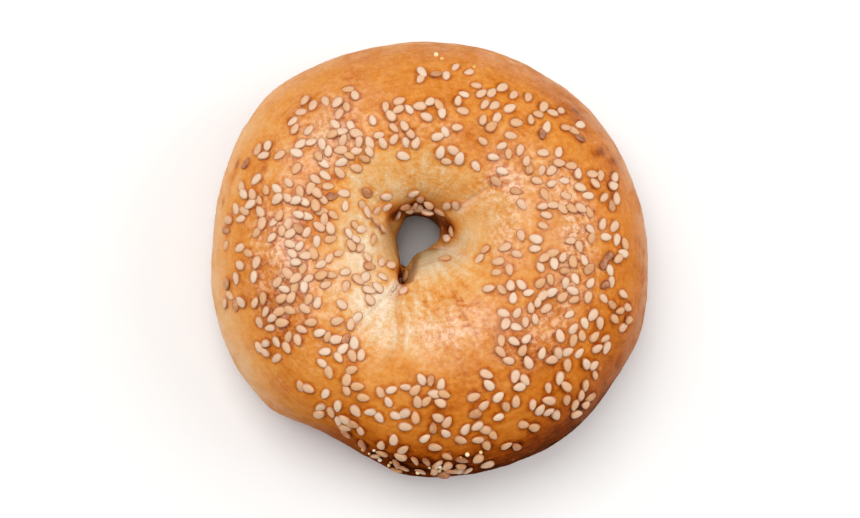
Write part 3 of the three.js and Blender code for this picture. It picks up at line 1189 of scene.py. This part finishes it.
@dataclass
class Strewing:
    """Strews the seeds over their drifts, by the same draws as the part's source."""

    start: int = 20117
    least_length: float = 2.9
    length_range: float = 0.75
    least_width_share: float = 0.60
    width_share_range: float = 0.09
    gap: float = 2.05
    tries: int = 24
    single_size: tuple[float, float] = (3.3, 2.1)
    toasted_tone: float = 0.88
    low_tube: float = 34.0
    low_painted_shade: float = 0.22
    darkest_low_seed: float = 0.82
    tone_chances: tuple[Triple, ...] = ((0.60, 0.0, 0.45), (0.94, 0.45, 0.68), (1.0, 0.68, 0.82))
    near_share: float = 0.85
    lift_each: float = 0.22
    most_lift: float = 0.42
    lift_range: tuple[float, float] = (-0.22, 0.06)
    swing: float = 7.0
    swing_each: float = 6.0

    def strew(self, dough: Dough) -> list[Seed]:
        """Lets the seeds fall.

        Args:
            dough: The dough, for its even ring.

        Returns:
            The seeds.
        """
        draws = Draws(self.start)
        seeds: list[Seed] = []
        for single in SINGLES:
            at = dough.ring_point(single.ring, single.tube)
            yaw = math.radians(single.yaw)
            seeds.append(Seed(single.ring, single.tube, at, *self.single_size, yaw, single.lay))
        for drift in DRIFTS:
            for _ in range(drift.count):
                seed = self.drop(draws, dough, drift, seeds)
                if seed is not None:
                    seeds.append(seed)
        self.season(seeds)
        self.toast(dough, seeds)
        return seeds

    def drop(self, draws: Draws, dough: Dough, drift: Drift, seeds: list[Seed]) -> Optional[Seed]:
        """Tries to let one seed fall clear of the others.

        Args:
            draws: The row of draws.
            dough: The dough, for its even ring.
            drift: The drift that it belongs to.
            seeds: The seeds that lie there already.

        Returns:
            The seed, or None where there was no room.
        """
        for _ in range(self.tries):
            turn = 2 * math.pi * draws.next()
            off = math.sqrt(draws.next())
            ring = drift.ring[0] + drift.ring[1] * off * math.cos(turn)
            tube = drift.tube[0] + drift.tube[1] * off * math.sin(turn)
            at = dough.ring_point(ring, tube)
            if all((seed.at - at).length > self.gap for seed in seeds):
                length = self.least_length + self.length_range * draws.next()
                width = length * (self.least_width_share + self.width_share_range * draws.next())
                return Seed(ring, tube, at, length, width, 2 * math.pi * draws.next(), drift.lay)
        return None

    def season(self, seeds: list[Seed]) -> None:
        """Gives each seed its tone, and lifts and leans those that lie on others.

        Args:
            seeds: The seeds, in the order in which they fell.
        """
        draws = Draws(self.start + 1)
        for i, seed in enumerate(seeds):
            chance = draws.next()
            low, high = next((low, high) for limit, low, high in self.tone_chances if chance < limit)
            seed.tone = draws.between(low, high)
            # Seeds low on the walls are darker: painted shade, as those walls lie in shade
            if seed.tube < self.low_tube:
                seed.tone = min(seed.tone + self.low_painted_shade, self.darkest_low_seed)
            near = self.near_share * seed.length
            under = sum((other.at - seed.at).length < near for other in seeds[:i])
            seed.lift = min(self.most_lift, self.lift_each * under) + draws.between(*self.lift_range)
            swing = self.swing + self.swing_each * min(2, under)
            seed.lean = math.radians(draws.between(-swing, swing) + seed.lay.value * draws.between(0.4, 1.0))
        for seed, single in zip(seeds, SINGLES):
            seed.tone = single.tone

    def toast(self, dough: Dough, seeds: list[Seed]) -> None:
        """Browns the seed that fell nearest to each toasted spot.

        Args:
            dough: The dough, for its even ring.
            seeds: The seeds.
        """
        for ring, tube in TOASTED:
            spot = dough.ring_point(ring, tube)
            nearest = min(seeds, key=lambda seed: (seed.at - spot).length)
            nearest.tone = self.toasted_tone


@dataclass
class Seeds:
    """All sesame seeds, as one mesh of copies of one small flat drop."""

    start: int = 4711
    thickness: float = 1.05
    sunk: float = 0.44
    taper: float = 0.34
    thickness_range: tuple[float, float] = (0.36, 0.48)
    bow_range: tuple[float, float] = (-0.10, 0.16)
    most_twist: float = 0.12
    lean_rise: float = 0.3
    sides: int = 10
    rows: int = 7
    finish: SeedFinish = field(default_factory=SeedFinish)

    def model_one(self) -> bpy.types.Object:
        """Models one seed of unit half length, pointed at its far end.

        Returns:
            The seed's object.
        """
        deselect_all()
        bpy.ops.mesh.primitive_uv_sphere_add(segments=self.sides, ring_count=self.rows, radius=1.0)
        one = bpy.context.object
        bpy.ops.object.mode_set(mode="EDIT")
        bpy.ops.mesh.select_all(action="SELECT")
        bpy.ops.transform.rotate(value=math.radians(90), orient_axis="X", center_override=(0, 0, 0))
        bpy.ops.object.mode_set(mode="OBJECT")
        places = read_places(one.data)
        slim = 1 - self.taper * places[:, 1]
        flat = np.sign(places[:, 2]) * np.abs(places[:, 2]) ** 0.8
        write_places(one.data, np.stack([places[:, 0] * slim, places[:, 1], flat], axis=1))
        return one

    def build(self, seeds: list[Seed], frames: list[Matrix]) -> bpy.types.Object:
        """Copies the seed to every place and joins the copies.

        Args:
            seeds: The seeds.
            frames: The frame of each on the dough.

        Returns:
            The seeds' object.
        """
        one = self.model_one()
        shape = read_places(one.data)
        faces = [list(polygon.vertices) for polygon in one.data.polygons]
        draws = Draws(self.start)
        places, own, tones, all_faces = [], [], [], []
        for seed, frame_here in zip(seeds, frames):
            half_thickness = self.thickness * draws.between(*self.thickness_range)
            size = np.array((seed.width / 2, seed.length / 2, half_thickness))
            bow = draws.between(*self.bow_range)
            twist = self.most_twist * seed.width * draws.between(-0.5, 0.5)
            body = shape * size
            body[:, 2] += bow * (1 - shape[:, 1] ** 2) - twist * shape[:, 0]
            turn = Matrix.Rotation(seed.yaw, 4, "Z")
            lean = Matrix.Rotation(seed.lean, 4, "X" if seed.lay is Lay.FLAT else "Y")
            rise = self.thickness / 2 - self.sunk + seed.lift
            rise += self.lean_rise * math.sin(abs(seed.lean)) * seed.width
            matrix = frame_here @ Matrix.Translation((0, 0, rise)) @ turn @ lean
            grid = np.array(matrix)
            base = len(places) * len(shape)
            places.append(body @ grid[:3, :3].T + grid[:3, 3])
            own.append(shape)
            tones.append(np.full(len(shape), seed.tone))
            all_faces.extend([[base + i for i in face] for face in faces])
        bpy.data.objects.remove(one)
        mesh = bpy.data.meshes.new("sesame_seeds")
        points = (np.concatenate(places) + np.array(RING_TO_PART)) * MM
        mesh.from_pydata(points.tolist(), [], all_faces)
        write_places(mesh, np.concatenate(own), "own")
        write_grades(mesh, np.concatenate(tones), "tone")
        thing = bpy.data.objects.new("sesame_seeds", mesh)
        bpy.context.scene.collection.objects.link(thing)
        make_active(thing)
        bpy.ops.object.shade_smooth()
        mesh.materials.append(self.finish.make())
        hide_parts(NODE)
        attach(thing, BODY)
        return thing


@dataclass
class Meal:
    """Coarse meal grains: a sprinkle at the foot of the near wall and a few at the far edge."""

    sprinkles: tuple[Drift, ...] = (
        Drift("foot", (264, 14), (26, 9), 15),
        Drift("far edge", (84, 6), (52, 10), 3),
        Drift("near low", (281, 4), (38, 4), 2),
    )
    start: int = 90210
    least_radius: float = 0.28
    most_radius: float = 0.62
    perch: float = 0.55
    finish: MealFinish = field(default_factory=MealFinish)

    def build(self, ground: Ground) -> bpy.types.Object:
        """Adds the grains one by one and joins them.

        Args:
            ground: Where they lie.

        Returns:
            The grains' object.
        """
        draws = Draws(self.start)
        grains = []
        for sprinkle in self.sprinkles:
            for _ in range(sprinkle.count):
                ring = sprinkle.ring[0] + sprinkle.ring[1] * draws.between(-1, 1)
                tube = sprinkle.tube[0] + sprinkle.tube[1] * draws.between(-1, 1)
                radius = draws.between(self.least_radius, self.most_radius)
                spot = ground.stand(ring, tube) @ Vector((0, 0, self.perch * radius))
                grains.append(self.grain((spot + RING_TO_PART) * MM, radius * MM, draws))
        deselect_all()
        for grain in grains:
            grain.select_set(True)
        bpy.context.view_layer.objects.active = grains[0]
        bpy.ops.object.join()
        thing = bpy.context.object
        thing.name = "meal_grains"
        bpy.ops.object.shade_smooth()
        thing.data.materials.append(self.finish.make())
        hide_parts(NODE)
        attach(thing, BODY)
        return thing

    def grain(self, spot: Vector, radius: float, draws: Draws) -> bpy.types.Object:
        """Models one grain, a pebble of its own shape.

        Args:
            spot: Its middle, in metres.
            radius: Its radius, in metres.
            draws: The row of draws.

        Returns:
            The grain's object.
        """
        deselect_all()
        bpy.ops.mesh.primitive_ico_sphere_add(subdivisions=2, radius=radius)
        grain = bpy.context.object
        bpy.ops.object.mode_set(mode="EDIT")
        bpy.ops.mesh.select_all(action="SELECT")
        share = (draws.between(0.8, 1.2), draws.between(0.8, 1.1), draws.between(0.75, 1.0))
        bpy.ops.transform.resize(value=share)
        bpy.ops.transform.translate(value=spot)
        bpy.ops.object.mode_set(mode="OBJECT")
        write_grades(grain.data, np.full(len(grain.data.vertices), draws.next()), "tone")
        return grain


@dataclass(frozen=True)
class Softbox:
    """A square soft light that faces the bagel: its place and side in metres, its power in watts."""

    name: str
    at: Triple
    size: float
    power: float
    colour: Triple


# The light from the upper left is the strongest, as in the photograph
SOFTBOXES = (
    Softbox("overhead softbox", (-0.17, 0.21, 0.68), 0.44, 2.9, (1.0, 0.98, 0.95)),
    Softbox("fill by the camera", (-0.05, -0.08, 0.80), 0.24, 0.8, (1.0, 0.99, 0.97)),
    Softbox("left softbox", (-0.55, 0.12, 0.42), 0.50, 1.0, (1.0, 0.99, 0.98)),
    Softbox("right softbox", (0.55, 0.06, 0.38), 0.50, 1.9, (1.0, 0.99, 0.98)),
)


@dataclass
class Studio:
    """A pale floor, soft lights and the camera, which looks down from a little to the near left."""

    floor_size: float = 3.0
    distance: float = 0.42
    tilt: float = 9.0
    side: float = 238.0
    millimetres_per_pixel: float = 0.2455
    aim: Triple = (-0.0003, -0.0005, 0.0164)
    picture_width: int = 860
    sensor: float = 36.0
    ambient: float = 0.32
    finish: FloorFinish = field(default_factory=FloorFinish)

    def lay_floor(self) -> None:
        """Lays the floor just under the bagel."""
        deselect_all()
        bpy.ops.mesh.primitive_plane_add(size=self.floor_size, location=(0, 0, 0))
        floor = bpy.context.object
        floor.name = "floor"
        floor.data.materials.append(self.finish.make())

    def hang(self, softbox: Softbox) -> None:
        """Hangs one soft light."""
        light = bpy.data.lights.new(softbox.name, "AREA")
        light.size = softbox.size
        light.energy = softbox.power
        light.color = softbox.colour
        thing = bpy.data.objects.new(softbox.name, light)
        bpy.context.scene.collection.objects.link(thing)
        thing.location = softbox.at
        thing.rotation_euler = (Vector(self.aim) - Vector(softbox.at)).to_track_quat("-Z", "Y").to_euler()

    def light_room(self) -> None:
        """Sets the even light of the room and hangs the soft lights."""
        world = bpy.data.worlds.new("room")
        world.use_nodes = True
        background = world.node_tree.nodes["Background"]
        background.inputs["Color"].default_value = (1, 1, 1, 1)
        background.inputs["Strength"].default_value = self.ambient
        bpy.context.scene.world = world
        for softbox in SOFTBOXES:
            self.hang(softbox)

    def place_camera(self) -> None:
        """Places the camera so that the picture has the right scale."""
        tilt = math.radians(self.tilt)
        side = math.radians(self.side)
        away = Vector((math.sin(tilt) * math.cos(side), math.sin(tilt) * math.sin(side), math.cos(tilt)))
        ahead = -away
        right = ahead.cross(Vector((0, 1, 0))).normalized()
        up = right.cross(ahead)
        camera = bpy.data.cameras.new("camera")
        camera.sensor_width = self.sensor
        frame_width = self.picture_width * self.millimetres_per_pixel * MM
        camera.lens = self.sensor * self.distance / frame_width
        thing = bpy.data.objects.new("camera", camera)
        bpy.context.scene.collection.objects.link(thing)
        turn = Matrix((right, up, away)).transposed().to_4x4()
        turn.translation = Vector(self.aim) + away * self.distance
        thing.matrix_world = turn
        bpy.context.scene.camera = thing

    def build(self) -> None:
        """Builds the studio."""
        self.lay_floor()
        self.light_room()
        self.place_camera()
        bpy.context.scene.view_settings.view_transform = "Standard"


def report(thing: bpy.types.Object) -> None:
    """Logs a piece's name and how many triangles it has."""
    triangles = sum(len(polygon.vertices) - 2 for polygon in thing.data.polygons)
    log.info("%s: %d triangles", thing.name, triangles)


def main() -> None:
    """Builds the bagel and the studio, in order."""
    logging.basicConfig(level=logging.INFO, format="%(message)s")
    dough = Dough()
    dough.shape()
    ground = Ground(dough)
    seeds = Strewing().strew(dough)
    frames = [ground.stand(seed.ring, seed.tube) for seed in seeds]
    seed_piece = Seeds().build(seeds, frames)
    meal_piece = Meal().build(ground)
    dough_piece = dough.dress(seeds, [here.translation for here in frames])
    for piece in (dough_piece, seed_piece, meal_piece):
        report(piece)
    log.info("%d seeds", len(seeds))
    Studio().build()


if __name__ == "__main__":
    main()
